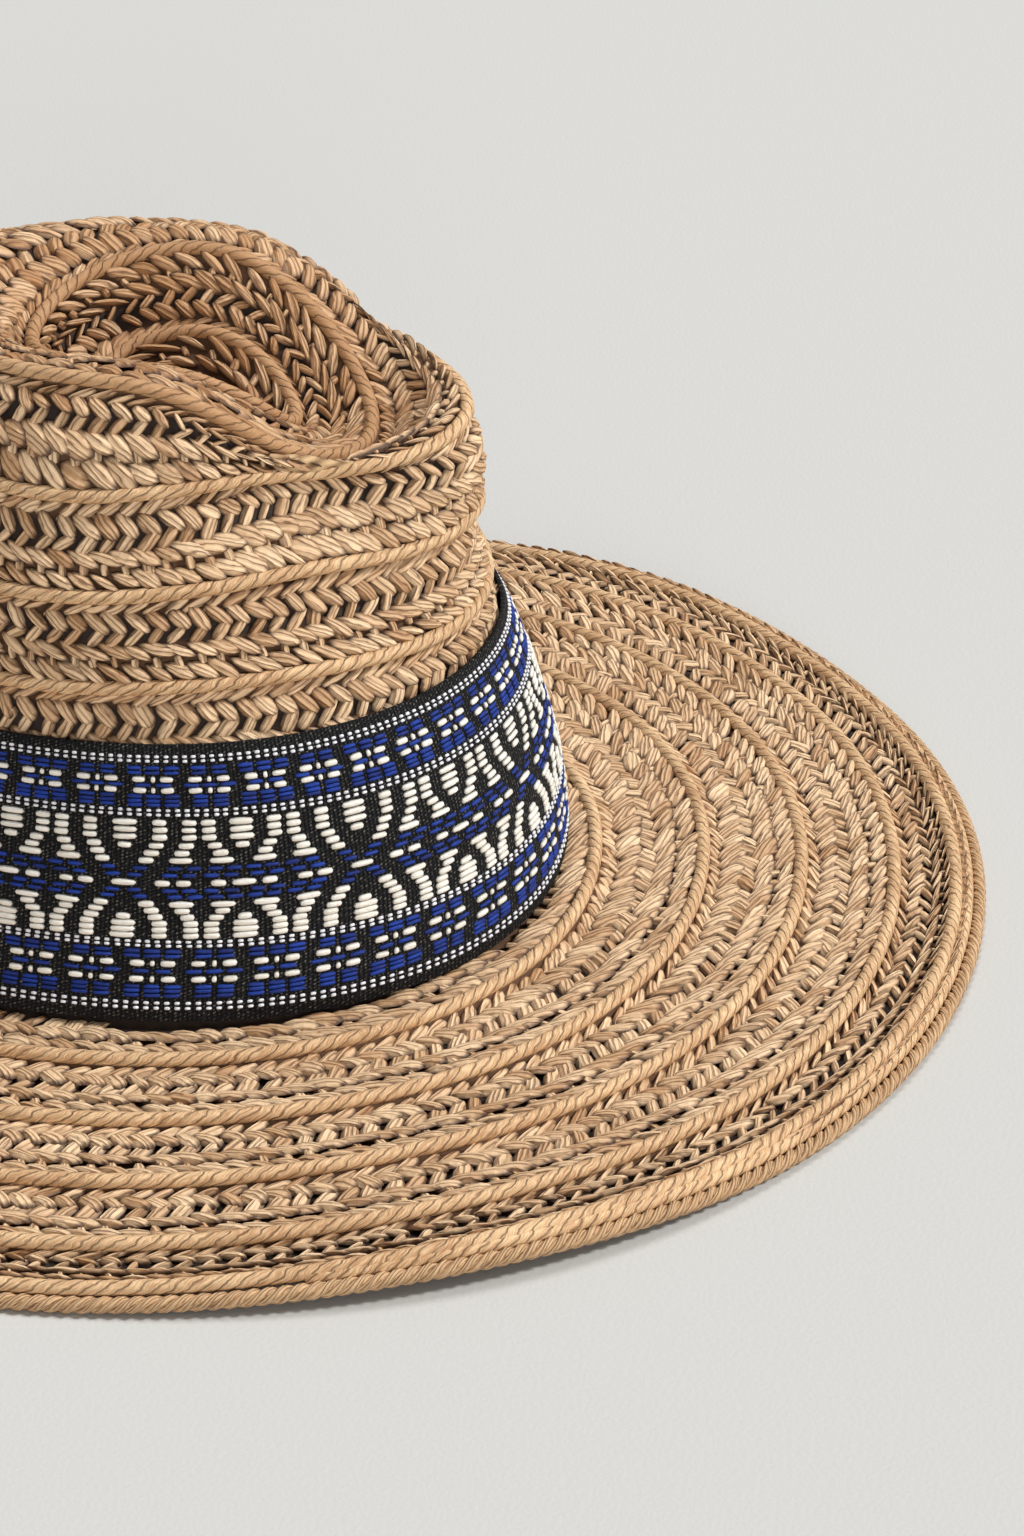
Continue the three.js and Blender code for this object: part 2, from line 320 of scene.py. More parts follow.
def unit_oval(turn):
    forward, sideways = np.cos(np.radians(turn)), np.sin(np.radians(turn))
    power = np.abs(forward) ** OVAL_FULLNESS + np.abs(sideways) ** OVAL_FULLNESS
    reach = power ** (-1 / OVAL_FULLNESS)
    return forward * reach, sideways * reach


def crown_point(turn, row):
    def at(column):
        return section_value(CROWN, column, row)

    forward, sideways = unit_oval(turn)
    from_front = np.degrees(np.arccos(np.clip(np.cos(np.radians(turn)), -1, 1)))
    crease = np.exp(-(((from_front - PINCH_ANGLE) / PINCH_SPREAD) ** 2))
    pinch = 1 - section_value(CREASES, "pinch", row) * crease
    ahead = forward > 0
    length = np.where(ahead, FOOT_HALF_FRONT * at("front"), FOOT_HALF_BACK * at("back"))
    dip = section_value(CREASES, "dip", row) * crease * np.where(sideways > 0, LEFT_DIP_SHARE, 1)
    end_up = np.where(ahead, at("front_up"), at("back_up"))
    up = at("side_up") + (end_up - at("side_up")) * np.cos(np.radians(turn)) ** 2 - dip
    return np.stack([
        FOOT_HALF_WIDTH * at("side") * sideways * pinch,
        -length * forward * pinch,
        BRIM_HEIGHT - PLAIT_THICKNESS + CROWN_HEIGHT * up,
    ], axis=-1)


def edge_wave(turn):
    """How far the brim's edge rises between the three places where it rests."""
    return EDGE_LIFT * np.maximum(0, -np.cos(np.radians(3 * turn))) ** 2


def beside_foot(turn, out):
    """A point on the level, some way outward from the foot of the crown."""
    forward, sideways = unit_oval(turn)
    length = np.where(forward > 0, FOOT_HALF_FRONT, FOOT_HALF_BACK)
    outward = np.stack([sideways / FOOT_HALF_WIDTH, -forward / length], axis=-1)
    outward /= np.linalg.norm(outward, axis=-1, keepdims=True)
    foot = np.stack([FOOT_HALF_WIDTH * sideways, -length * forward], axis=-1)
    return foot + outward * np.asarray(out)[..., None]


def brim_reach(turn, share):
    slim = BRIM_SLIM * share ** 2 * (1 + np.sin(np.radians(turn))) / 2
    ahead = BRIM_AHEAD * share * np.maximum(0, np.cos(np.radians(turn))) ** 2
    return CLEARANCE + (BRIM_WIDTH - CLEARANCE) * share + ahead - slim


def brim_point(turn, row):
    share = section_value(BRIM, "out", row)
    flat = beside_foot(turn, brim_reach(turn, share))
    up = BRIM_HEIGHT * section_value(BRIM, "high", row) + edge_wave(turn) * share ** 2
    return np.concatenate([flat, up[..., None]], axis=-1)


def hat_point(turn, row):
    turn, row = np.broadcast_arrays(np.asarray(turn, float), np.asarray(row, float))
    crown = crown_point(turn, np.clip(row, 0, CROWN_ROWS))
    brim = brim_point(turn, np.clip(row, CROWN_ROWS, HAT_ROWS))
    return np.where((row > CROWN_ROWS)[..., None], brim, crown)


def unit(vectors):
    return vectors / np.maximum(np.linalg.norm(vectors, axis=-1, keepdims=True), 1e-9)


def distance_along(points):
    """Length of a line of points, from its start to each of them."""
    return np.concatenate([[0], np.cumsum(np.linalg.norm(np.diff(points, axis=0), axis=1))])


def along_and_across(turn, row):
    """How far a point moves for each degree of turn and for each row. Neither step crosses the foot."""
    on_brim = row > CROWN_ROWS
    low = np.maximum(row - ROW_STEP, np.where(on_brim, FIRST_BRIM_ROW, ROW_STEP / 2))
    high = np.minimum(row + ROW_STEP, np.where(on_brim, HAT_ROWS, CROWN_ROWS))
    across = (hat_point(turn, high) - hat_point(turn, low)) / (high - low)[..., None]
    along = (hat_point(turn + 1, row) - hat_point(turn - 1, row)) / 2
    return along, across


def outward_normal(turn, row):
    turn, row = np.broadcast_arrays(np.asarray(turn, float), np.asarray(row, float))
    along, across = along_and_across(turn, np.maximum(row, ROW_STEP))
    return unit(np.cross(across, along))

# %% The hat's own centre
CAD_STATIONS = 64
around = (np.arange(CAD_STATIONS) + 0.5) * 360 / CAD_STATIONS - 180
outline = beside_foot(around, brim_reach(around, 1) + CLEARANCE + CORD_DIAMETER)
SHIFT = np.append(-(outline.min(0) + outline.max(0)) / 2, 0)
cord_low, cord_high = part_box("brim_cord")
print("shift", SHIFT.round(2), "outline", (outline.max(0) - outline.min(0)).round(1), "mm, the frame's cord",
      [round((h - l) / MM, 1) for l, h in zip(cord_low, cord_high)])

# %% [markdown]
# ## Helpers that make pieces
#
# Every new piece ends in the same way: its points go from millimetres to metres and into the shared
# frame, it rides on the hat's one body, and the imported part that it stands for is hidden.

# %% Finishing a piece
pieces = {}


def finish_piece(name, mesh, material, slot, *stands_for, smooth=True):
    mesh.polygons.foreach_set("use_smooth", np.full(len(mesh.polygons), smooth))
    mesh.materials.append(material)
    piece = bpy.data.objects.new(name, mesh)
    bpy.context.scene.collection.objects.link(piece)
    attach(piece, "root")
    if stands_for:
        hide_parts(*stands_for)
    mesh.calc_loop_triangles()
    pieces[name] = len(mesh.loop_triangles)
    print(f"{name}: {pieces[name]} triangles")
    return piece


def placed(points):
    """Millimetres round the tip of the crown, as metres in the shared frame."""
    return ((points + SHIFT) * MM).astype(np.float32)


def mapped_grid(name, columns, lines, shape, closed=False):
    """A grid of quads bent into a surface. shape gives points and map coordinates for shares 0 to 1."""
    work = bmesh.new()
    bmesh.ops.create_grid(work, x_segments=columns, y_segments=lines, size=0.5)
    work.verts.ensure_lookup_table()
    shares = np.array([v.co for v in work.verts])[:, :2] + 0.5
    points, chart = shape(shares[:, 0], shares[:, 1])
    chart_layer = work.loops.layers.uv.new("chart")
    for face in work.faces:
        for loop in face.loops:
            loop[chart_layer].uv = chart[loop.vert.index]
    for vertex, point in zip(work.verts, placed(points)):
        vertex.co = point
    bmesh.ops.remove_doubles(work, verts=work.verts, dist=1e-6)
    if closed:
        bmesh.ops.holes_fill(work, edges=[e for e in work.edges if e.is_boundary], sides=0)
    bmesh.ops.recalc_face_normals(work, faces=work.faces)
    mesh = bpy.data.meshes.new(name)
    work.to_mesh(mesh)
    work.free()
    return mesh

# %% [markdown]
# ## One strand
#
# A plait shows each of its strands as a short leaf where it passes over the others. A leaf is a flattened
# ball stretched to a spindle: some come to a point, others stay blunt. It is repeated thousands of times,
# so it has only a few dozen faces, and its fibres come from the finish.

# %% Leaf shapes
LEAF_UNDER = 0.25


class Leaf:
    """A unit leaf: x runs along it from -1 to 1, y across it, and z up from a flat underside."""

    def __init__(self, sides, steps, bluntness, under=LEAF_UNDER):
        work = bmesh.new()
        bmesh.ops.create_uvsphere(work, u_segments=sides, v_segments=steps, radius=1)
        bmesh.ops.rotate(work, verts=work.verts, cent=(0, 0, 0), matrix=Matrix.Rotation(math.pi / 2, 3, "Y"))
        bmesh.ops.triangulate(work, faces=work.faces)
        for vertex in work.verts:
            x, y, z = vertex.co
            full = math.sqrt(max(1 - x * x, 0))
            wanted = max(1 - x * x, 0) ** bluntness
            scale = wanted / full if full > 1e-6 else 0
            vertex.co = (x, y * scale, max(z * scale, -under))
        bmesh.ops.recalc_face_normals(work, faces=work.faces)
        self.points = np.array([v.co for v in work.verts])
        corners = [[v.index for v in f.verts] for f in work.faces]
        # Blender's own order changes from run to run, so the faces are sorted, lowest corner first.
        self.faces = np.array(sorted(c[c.index(min(c)):] + c[:c.index(min(c))] for c in corners))
        work.free()


LEAVES = {
    "pointed": Leaf(6, 7, 0.8),
    "strand": Leaf(6, 6, 0.32),
    "blade": Leaf(6, 6, 0.42),
    "bar": Leaf(6, 4, 0.25),
}
print({name: len(leaf.faces) for name, leaf in LEAVES.items()}, "triangles a leaf")

# %% [markdown]
# ## Where the plait runs
#
# The plait starts near the tip and winds outward. Progress along it is counted in turns. Across it, 0 is
# the inner edge, which hides under the row before, and 1 is the outer edge, which laps over the next row.
# The last turn grows narrow as it reaches the edge, so that the brim ends on a clean line. It stops just
# before its width is gone.

# %% From the plait to the form
FIRST_PROGRESS, LAST_PROGRESS = 0.35, 13.9
FINE_STEPS = 720
ROPE_ACROSS, ROPE_PAST_EDGE = 0.925, 0.03


def plait_place(progress, across):
    """Turn and row of a place on the plait."""
    turn = -SPIRAL_START - 360 * progress
    width = np.minimum(np.minimum(progress, 1), HAT_ROWS + 1 - progress)
    inner = np.maximum(progress - 1, 0)
    return turn, inner + across * width


def rope_place(progress):
    """The rope keeps its distance from the outer edge, also where the last turn grows narrow."""
    turn = -SPIRAL_START - 360 * progress
    outer = np.minimum(np.maximum(progress, 0), HAT_ROWS + ROPE_PAST_EDGE)
    return turn, outer - (1 - ROPE_ACROSS) * np.minimum(progress, 1)


def stitches(first, last, spacing):
    """Progress of stitches at an even spacing in millimetres along the middle of the plait."""
    fine = np.arange(first, last, 1 / FINE_STEPS)
    run = distance_along(hat_point(*plait_place(fine, 0.5)))
    return np.interp(np.arange(int(run[-1] / spacing)) * spacing, run, fine)


def plait_frame(turn, row):
    """Steps along and across the form, then unit vectors along the plait, out of its face and across it."""
    along, over = along_and_across(turn, row)
    run = unit(along - over / 360)
    normal = unit(np.cross(over, along))
    out = np.cross(run, normal)
    out *= np.sign((out * over).sum(1))[:, None]
    return along, over, run, normal, out

# %% [markdown]
# ## The ribbon's seat
#
# The band hides a wide stretch of the crown. Strands under it would only cost triangles, so the rows that
# the band covers are worked out first: it starts a little above the foot and climbs the wall by its width.

# %% Rows under the band
BAND_FOOT = PLAIT_THICKNESS + LAP_STEP + CLEARANCE
BAND_TOP = BAND_FOOT + BAND_WIDTH
TURN_STEPS, CLIMB_STEPS, HEIGHT_STEPS = 360, 320, 140
HIGHEST_ROW, ABOVE_BAND = 4.4, 6
climb_turns = np.linspace(-180, 180, TURN_STEPS + 1)
climb_rows = np.linspace(CROWN_ROWS, HIGHEST_ROW, CLIMB_STEPS + 1)
wall = crown_point(climb_turns[:, None], np.broadcast_to(climb_rows, (TURN_STEPS + 1, CLIMB_STEPS + 1)))
steps_up = np.linalg.norm(np.diff(wall, axis=1), axis=2)
climbed = np.concatenate([np.zeros((TURN_STEPS + 1, 1)), np.cumsum(steps_up, axis=1)], axis=1)
heights = np.linspace(0, BAND_TOP + ABOVE_BAND, HEIGHT_STEPS)
rows_at_height = np.array([np.interp(heights, line, climb_rows) for line in climbed])


def row_above(turn, distance):
    """Row that lies a distance up the crown's wall from its foot."""
    share = (np.asarray(turn, float) + 180) % 360
    i = np.minimum(share.astype(int), TURN_STEPS - 1)
    part = share - i
    place = np.clip(np.asarray(distance, float) / heights[-1] * (HEIGHT_STEPS - 1), 0, HEIGHT_STEPS - 1.001)
    j = place.astype(int)
    rest = place - j
    near = rows_at_height[i, j] * (1 - rest) + rows_at_height[i, j + 1] * rest
    far = rows_at_height[i + 1, j] * (1 - rest) + rows_at_height[i + 1, j + 1] * rest
    return near * (1 - part) + far * part


print("the band's top edge lies on rows", row_above(np.array([0, 90, 180, 270]), BAND_TOP).round(2))

# %% [markdown]
# ## The finish of straw
#
# The plait is twisted paper straw: dull, light tan, with fine creases along each strand and small
# differences of tone between strands. The creases are a noise stretched along the leaf's own chart, and
# each leaf carries its tone as an attribute; down in the crown's dent that tone is lowered as painted
# shade. The creases are painted dark and the folds a little lighter on their ridges, as painted shading
# of the folds, while the finer dark scratches are fibres. A second attribute carries painted shade: each
# leaf darkens towards its rim and tips, where it dives under its neighbours.

# %% Straw
CREASE_SPACING, STRAW_ROUGHNESS = 1.1, 0.52
# The shadow and groove colours are painted shade. The crease colour is painted shade in the creases and also
# draws the dark fibre scratches
STRAW_SHADOW, STRAW_CREASE_SHADE_AND_SCRATCH, STRAW_GROOVE_SHADE = colour(58, 30, 14), colour(76, 42, 20), colour(84, 48, 24)


def straw(name, pale, deep):
    finish = Finish(name)
    chart = finish.chart()
    _, over = finish.directions(chart)
    tone, shade = finish.attribute("tone"), finish.attribute("shade")
    wander = finish.noise(finish.stretched(chart, (0.13, 0.4, 1)), 1, 2)
    fibres = finish.noise(finish.stretched(chart, (0.3, 7, 1)), 1, 2)
    folds = (over * (2 * math.pi / CREASE_SPACING) + wander * 14).wave()
    # Painted shade: the fold valleys are drawn dark, and the folds add lightness on their ridges
    creases = (1 - folds.between(0.0, 0.2)) * wander.between(0.3, 0.5)
    scratches = 1 - fibres.between(0.3, 0.42)
    patches = finish.object_noise(38)
    lightness = tone * 0.55 + patches * 0.25 + folds * 0.2 + (fibres - 0.5) * 0.5 + 0.02
    base = finish.mix(lightness.between(0.1, 0.95), deep, pale)
    # Painted shade: the shade attribute darkens each leaf towards its rim and tips
    shaded = finish.mix(shade.between(0.15, 0.85) * 0.9 + 0.1, STRAW_SHADOW, base)
    return finish.finish(
        Base_Color=finish.mix(creases * 0.7 + scratches * 0.42, shaded, STRAW_CREASE_SHADE_AND_SCRATCH),
        Roughness=fibres * 0.2 + STRAW_ROUGHNESS,
        Normal=finish.bump(folds * 0.8 + fibres * 0.3, 0.0003, 0.9),
    )


STRAW = straw("plaited_straw", colour(246, 212, 170), colour(176, 128, 82))
CORD_STRAW = straw("twisted_straw", colour(232, 196, 150), colour(166, 118, 74))

# %% [markdown]
# ## Many strands as one mesh
#
# A course is one line of like strands that runs the whole length of the plait. Its leaves are copies of
# one template, laid on the form by formula and joined in arrays: a mesh made this way is quick to build
# and has no instances left to realise. Chance changes each leaf a little, from a fixed seed.

# %% Laying leaves
STITCH, PLAIT_WIDTH, LEAST_PITCH = 4.4, 22, 6
DENT_ROWS, DENT_PAINTED_SHADE = 2.6, 0.5
CHART_ROOM = 900
TONES = 2.6, 2.0
VARIES = dict(across=0.008, along=0.06, length=0.1, width=0.13, lift=0.12, roll=0.16)
chance = np.random.default_rng(7)


def lap_height(across):
    """The plait's face rises from its inner edge to its outer one, which lies on the next row."""
    return LAP_STEP * np.interp(across, [0.06, 0.55, 0.94], [0, 0.5, 1])


def own_chart(x, y):
    """Map coordinates in millimetres. Each leaf gets its own place on the endless pattern."""
    shift_x = chance.uniform(0, CHART_ROOM, len(x))[:, None]
    shift_y = chance.uniform(0, CHART_ROOM, len(x))[:, None]
    return np.stack([x + shift_x, y + shift_y], -1)


def lay_leaves(progress, course, gap):
    """Template, points, charts, tones and shades of one course of leaves, gap being a stitch in turns."""
    leaf = LEAVES[course["leaf"]]
    leaf_x, leaf_y, leaf_z = leaf.points.T
    count = len(progress)

    def varied(what):
        return chance.normal(0, VARIES[what], count)

    turn, row = plait_place(progress, course["across"] + varied("across"))
    turn = turn + varied("along") * 360 * gap
    along, over, run, normal, out = plait_frame(turn, row)
    on_brim = row > CROWN_ROWS

    # The leaf's size follows the room that the plait has here
    pitch = np.maximum((over * out).sum(1), LEAST_PITCH)
    stitch = (along * run).sum(1) * 360 * gap
    narrow = np.clip(np.minimum(progress, (HAT_ROWS + 1 - progress) * 2), 0.45, 1)
    long_scale = np.clip(stitch / STITCH, 0.45, 1.5)
    wide_scale = np.clip(pitch / PLAIT_WIDTH, 0.45, 1.35) * narrow
    half_length = course["length"] / 2 * long_scale * (1 + varied("length"))
    fullness = np.where(on_brim, course.get("on_brim", 1.05), 1) * (1 + varied("width"))
    half_width = course["width"] / 2 * np.minimum(wide_scale, 1.2) * fullness

    # In millimetres along, across and above the plait
    tilt = np.radians(course["tilt"] + chance.normal(0, course.get("sway", 5), count))[:, None]
    x0 = leaf_x * half_length[:, None]
    y0 = leaf_y * half_width[:, None]
    x = x0 * np.cos(tilt) - y0 * np.sin(tilt)
    y = (x0 * np.sin(tilt) + y0 * np.cos(tilt)) * wide_scale[:, None]
    z = course["top"] + course["thick"] * (leaf_z - 1) / (1 + LEAF_UNDER)
    z = z + course.get("shingle", 0.1) * x0 + varied("lift")[:, None]
    z = z + varied("roll")[:, None] * y0

    # The same steps in turns and rows, so that each leaf bends with the form
    turn_run, row_run = (along * run).sum(1)[:, None], (over * run).sum(1)[:, None]
    turn_out, row_out = (along * out).sum(1)[:, None], pitch[:, None]
    area = np.maximum(turn_run * row_out - row_run * turn_out, 0.4 * turn_run * row_out)
    d_turn = (row_out * x - row_run * y) / area
    d_row = (turn_run * y - turn_out * x) / area
    low = np.where(on_brim, FIRST_BRIM_ROW, 0.0)[:, None]
    high = np.where(on_brim, HAT_ROWS, CROWN_ROWS)[:, None]
    lift = lap_height(course["across"] + d_row + d_turn / 360)
    face = hat_point(turn[:, None] + d_turn, np.clip(row[:, None] + d_row, low, high))
    points = face + normal[:, None, :] * (z + lift)[..., None]

    chart = own_chart(x0, y0)
    # Painted shade: leaves down in the crown's dent get a lower tone, for the shade of the dent
    dent = np.clip(DENT_ROWS - row, 0, 1) * DENT_PAINTED_SHADE
    tone = np.repeat((chance.beta(*TONES, count) - dent)[:, None], len(leaf_x), axis=1)
    # Painted shade: each leaf darkens towards its rim and its tips, where it dives under its neighbours
    shade = np.clip((leaf_z + LEAF_UNDER) / 1.1, 0, 1) * np.clip((1 - np.abs(leaf_x)) * 2.6 + 0.25, 0, 1)
    return leaf, points, chart, tone, np.tile(shade, (count, 1))


def leaf_mesh(name, laid):
    """One mesh from several courses of leaves."""
    points, faces, charts, tones, shades, first = [], [], [], [], [], 0
    for leaf, place, chart, tone, shade in laid:
        count, size = place.shape[:2]
        points.append(place.reshape(-1, 3))
        starts = first + np.arange(count)[:, None, None] * size
        faces.append((leaf.faces[None] + starts).reshape(-1, 3))
        charts.append(chart.reshape(-1, 2))
        tones.append(tone.ravel())
        shades.append(shade.ravel())
        first += count * size
    points, faces, charts = map(np.concatenate, (points, faces, charts))
    mesh = bpy.data.meshes.new(name)
    mesh.vertices.add(len(points))
    mesh.vertices.foreach_set("co", placed(points).ravel())
    mesh.loops.add(faces.size)
    mesh.loops.foreach_set("vertex_index", faces.ravel().astype(np.int32))
    mesh.polygons.add(len(faces))
    mesh.polygons.foreach_set("loop_start", np.arange(len(faces), dtype=np.int32) * 3)
    mesh.polygons.foreach_set("loop_total", np.full(len(faces), 3, np.int32))
    mesh.update(calc_edges=True)
    layer = mesh.uv_layers.new(name="chart")
    layer.data.foreach_set("uv", charts[faces.ravel()].astype(np.float32).ravel())
    for title, values in (("tone", tones), ("shade", shades)):
        attribute = mesh.attributes.new(title, "FLOAT", "POINT")
        attribute.data.foreach_set("value", np.concatenate(values).astype(np.float32))
    return mesh

# %% [markdown]
# ## The courses of the plait
#
# Read across the plait from its inner edge: a thin strand that dives under the row before, an open
# herringbone of blunt strands with holes between them, a line of pointed leaves, a line of short bars set
# deep, and another line of pointed leaves. Lengths are in millimetres, tilts in degrees and "across" is a
# share of the plait's width. The rolled edge comes after them, as a tube of its own.

# %% The courses
COURSES = {
    "inner": dict(leaf="strand", across=0.06, length=7.8, width=2.7, tilt=-30, thick=1.5, top=0.2),
    "steep": dict(leaf="blade", across=0.215, length=7.2, width=3.8, tilt=47, thick=1.7, top=0.85,
                  shingle=0.14, sway=7, on_brim=1.12),
    "counter": dict(leaf="strand", across=0.38, length=6.6, width=3.0, tilt=-54, thick=1.6, top=0.45,
                    sway=8, on_brim=1.3),
    "upper": dict(leaf="pointed", across=0.54, length=8.8, width=3.7, tilt=27, thick=1.7, top=0.95,
                  shingle=0.15),
    "bar": dict(leaf="bar", across=0.655, length=3.4, width=2.3, tilt=80, thick=1.2, top=0.15, shingle=0),
    "lower": dict(leaf="pointed", across=0.765, length=8.2, width=3.6, tilt=31, thick=1.7, top=0.95,
                  shingle=0.15),
}
CROWN_STITCH, BRIM_STITCH = 4.4, 4.8
BAND_MARGIN, FOOT_MARGIN = 0.12, 0.02
STITCHES = {
    "crown": stitches(FIRST_PROGRESS, CROWN_ROWS + 1, CROWN_STITCH),
    "brim": stitches(CROWN_ROWS, LAST_PROGRESS, BRIM_STITCH),
}


def course_on(zone, name):
    """Leaves of one course on the crown or on the brim, without those that the band hides."""
    course, progress = COURSES[name], STITCHES[zone]
    turn, row = plait_place(progress, course["across"])
    if zone == "crown":
        shown = row < row_above(turn, BAND_TOP) + BAND_MARGIN
    else:
        shown = row > CROWN_ROWS + FOOT_MARGIN
    return lay_leaves(progress[shown], course, np.gradient(progress)[shown])


PIECES_OF_PLAIT = {
    "crown_openwork": ("crown", ("inner", "steep", "counter")),
    "crown_leaves": ("crown", ("upper", "bar", "lower")),
    "brim_openwork": ("brim", ("inner", "steep", "counter")),
    "brim_leaves": ("brim", ("upper", "bar", "lower")),
}
for name, (zone, courses) in PIECES_OF_PLAIT.items():
    mesh = leaf_mesh(name, [course_on(zone, course) for course in courses])
    finish_piece(name, mesh, STRAW, "straw", zone, smooth=False)

# %% [markdown]
# ## The rolled edge
#
# The outer edge of the plait is rolled, and looks like a rope that winds round the hat. It is a grid bent
# into a tube along the plait. Its strands swell and dip along a screw line, and the finish paints the fine
# dark line between two strands on the same screw line as shade in the groove. Down in the crown's dent
# the rope's first stretch leans to the deep colour, as painted shade for the depth of the dent.

# %% Rolled edge
ROPE_RADIUS, ROPE_SINK, ROPE_SIDES, ROPE_STEP = 1.62, 0.25, 8, 1.25
WRAP_SPACING, WRAP_SLOPE, WRAP_SWELL = 3.4, 1.15, 0.12
ROPE_PALE, ROPE_DEEP = colour(234, 198, 152), colour(168, 120, 76)
ROPE_IN_DENT = 420


def rolled_straw(name, painted_dent_shade=0.0):
    finish = Finish(name)
    chart = finish.chart()
    run, over = finish.directions(chart)
    wander = finish.noise(finish.stretched(chart, (0.22, 0.3, 1)), 1, 2)
    screw = (run - over * WRAP_SLOPE) * (1 / WRAP_SPACING) + (wander - 0.5) * 1.1
    swell = (screw * math.pi).sine().size()
    # Painted shade: a dark line in the groove between two strands
    groove = 1 - swell.between(0.0, 0.26)
    fibre_place = finish.node("ShaderNodeCombineXYZ", {}, {0: screw * 9, 1: over * 0.5, 2: run * 0.05})
    fibres = finish.noise(fibre_place, 1)
    lightness = (fibres * 1.2 + finish.object_noise(60) * 0.5 - 0.35).between(0.15, 0.8)
    # Painted shade: the rope's first stretch, down in the dent, leans to the deep colour
    rope_dent_shade = (1.0 - run / ROPE_IN_DENT).between(0.0, 0.25) * painted_dent_shade
    base = finish.mix(lightness * (1 - rope_dent_shade), ROPE_DEEP, ROPE_PALE)
    return finish.finish(
        Base_Color=finish.mix(groove * 0.75, base, STRAW_GROOVE_SHADE),
        Roughness=fibres * 0.2 + STRAW_ROUGHNESS,
        Normal=finish.bump(swell.between(0, 0.5) * 0.8 + fibres * 0.5, 0.0004),
    )


def rope_tube(name, first, last):
    """A tube along the plait's outer edge, with strands that wind round it."""
    fine = np.linspace(first, last, int((last - first) * FINE_STEPS))
    length = distance_along(hat_point(*rope_place(fine)))

    def shape(along_share, round_share):
        run = length[-1] * along_share
        progress = np.interp(run, length, fine)
        turn, row = rope_place(progress)
        _, _, _, normal, out = plait_frame(turn, row)
        around_rope = 2 * math.pi * round_share
        aside = ROPE_RADIUS * (around_rope - math.pi)
        screw = (run - aside * WRAP_SLOPE) / WRAP_SPACING
        away_from_seam = np.sin(around_rope / 2) ** 2
        radius = ROPE_RADIUS * (1 + WRAP_SWELL * away_from_seam * (np.abs(np.sin(math.pi * screw)) - 0.6))
        lowered = LAP_STEP * np.clip((progress - HAT_ROWS) * 4 + 0.5, 0, 1)
        middle_up = lap_height(ROPE_ACROSS) - ROPE_SINK - lowered
        sideways = -radius * np.sin(around_rope)
        up = middle_up - radius * np.cos(around_rope)
        points = hat_point(turn, row) + out * sideways[:, None] + normal * up[:, None]
        return points, np.stack([run, aside], axis=-1)

    return mapped_grid(name, round(length[-1] / ROPE_STEP), ROPE_SIDES, shape, closed=True)


rope_run = np.linspace(FIRST_PROGRESS, CROWN_ROWS, 4000)
rope_turn, rope_row = rope_place(rope_run)
band_meets_rope = float(rope_run[np.argmax(rope_row > row_above(rope_turn, BAND_TOP))])
crown_rope = rope_tube("crown_rope", FIRST_PROGRESS, band_meets_rope)
brim_rope = rope_tube("brim_rope", CROWN_ROWS + 0.1, HAT_ROWS + 0.99)
finish_piece("crown_rope", crown_rope, rolled_straw("rolled_straw_with_dent_shade", 0.75), "straw", "crown")
finish_piece("brim_rope", brim_rope, rolled_straw("rolled_straw"), "straw", "brim")

# %% [markdown]
# ## The ground of the plait
#
# Behind the leaves the same plait runs on as one closed strip, a wall of straw a little under two
# millimetres thick. Its outer face only shows in the gaps between strands, so it is painted dark as the
# shade in those gaps, and near black across the openwork holes. Its inner face is what the wearer sees,
# so there the finish draws the herringbone of the back of the plait.

# %% Ground finish
def ground(name):
    """The map's second direction runs from 0 to 1 across the outer face, and from 2 to 3 inside."""
    finish = Finish(name, Roughness=0.8)
    chart = finish.chart()
    run, over = finish.directions(chart)
    inside = over.above(1.5)
    across = over - inside * 2
    strand = (((across - 0.5).size() * 2.4 - run / STITCH) * (2 * math.pi)).wave()
    ridge = (across * (2 * math.pi * 5)).wave()
    grain = finish.noise(finish.stretched(chart, (0.6, 90, 1)), 1)
    back = finish.mix((strand * 0.5 + ridge * 0.2 + grain * 0.5).between(0.2, 0.95),
                      colour(120, 84, 50), colour(212, 176, 130))
    # Painted shade: the outer face is dark brown, and near black in the band of openwork holes
    holes = across.between(0.08, 0.2) * (1 - across.between(0.42, 0.5))
    face = finish.mix(holes, colour(92, 60, 34), colour(42, 26, 15))
    return finish.finish(
        Base_Color=finish.mix(inside, face, back),
        Normal=finish.bump(strand * 0.7 + ridge * 0.4 + grain * 0.3, 0.0006, 0.9),
    )


GROUND = ground("back_of_plait")

# %% Ground strip
GROUND_DEPTH = 1.1
PROFILE = table(
    "across lift",
    (0, 0), (0.2, 0.05), (0.5, 0.4), (0.8, 0.8), (0.875, 1.3), (0.925, 1.9), (0.97, 1.2), (1, 0.2),
)
strip_progress = np.arange(0.2, LAST_PROGRESS + 0.2, 1 / 360)
strip_run = distance_along(hat_point(*plait_place(strip_progress, 0.5)))


def there_and_back(round_share, lines):
    """Line of a closed strip's profile, counted over its face and back again, and whether it is the face."""
    k = np.rint(round_share * 2 * lines).astype(int) % (2 * lines)
    on_face = k < lines
    return np.where(on_face, k, 2 * lines - 1 - k), on_face


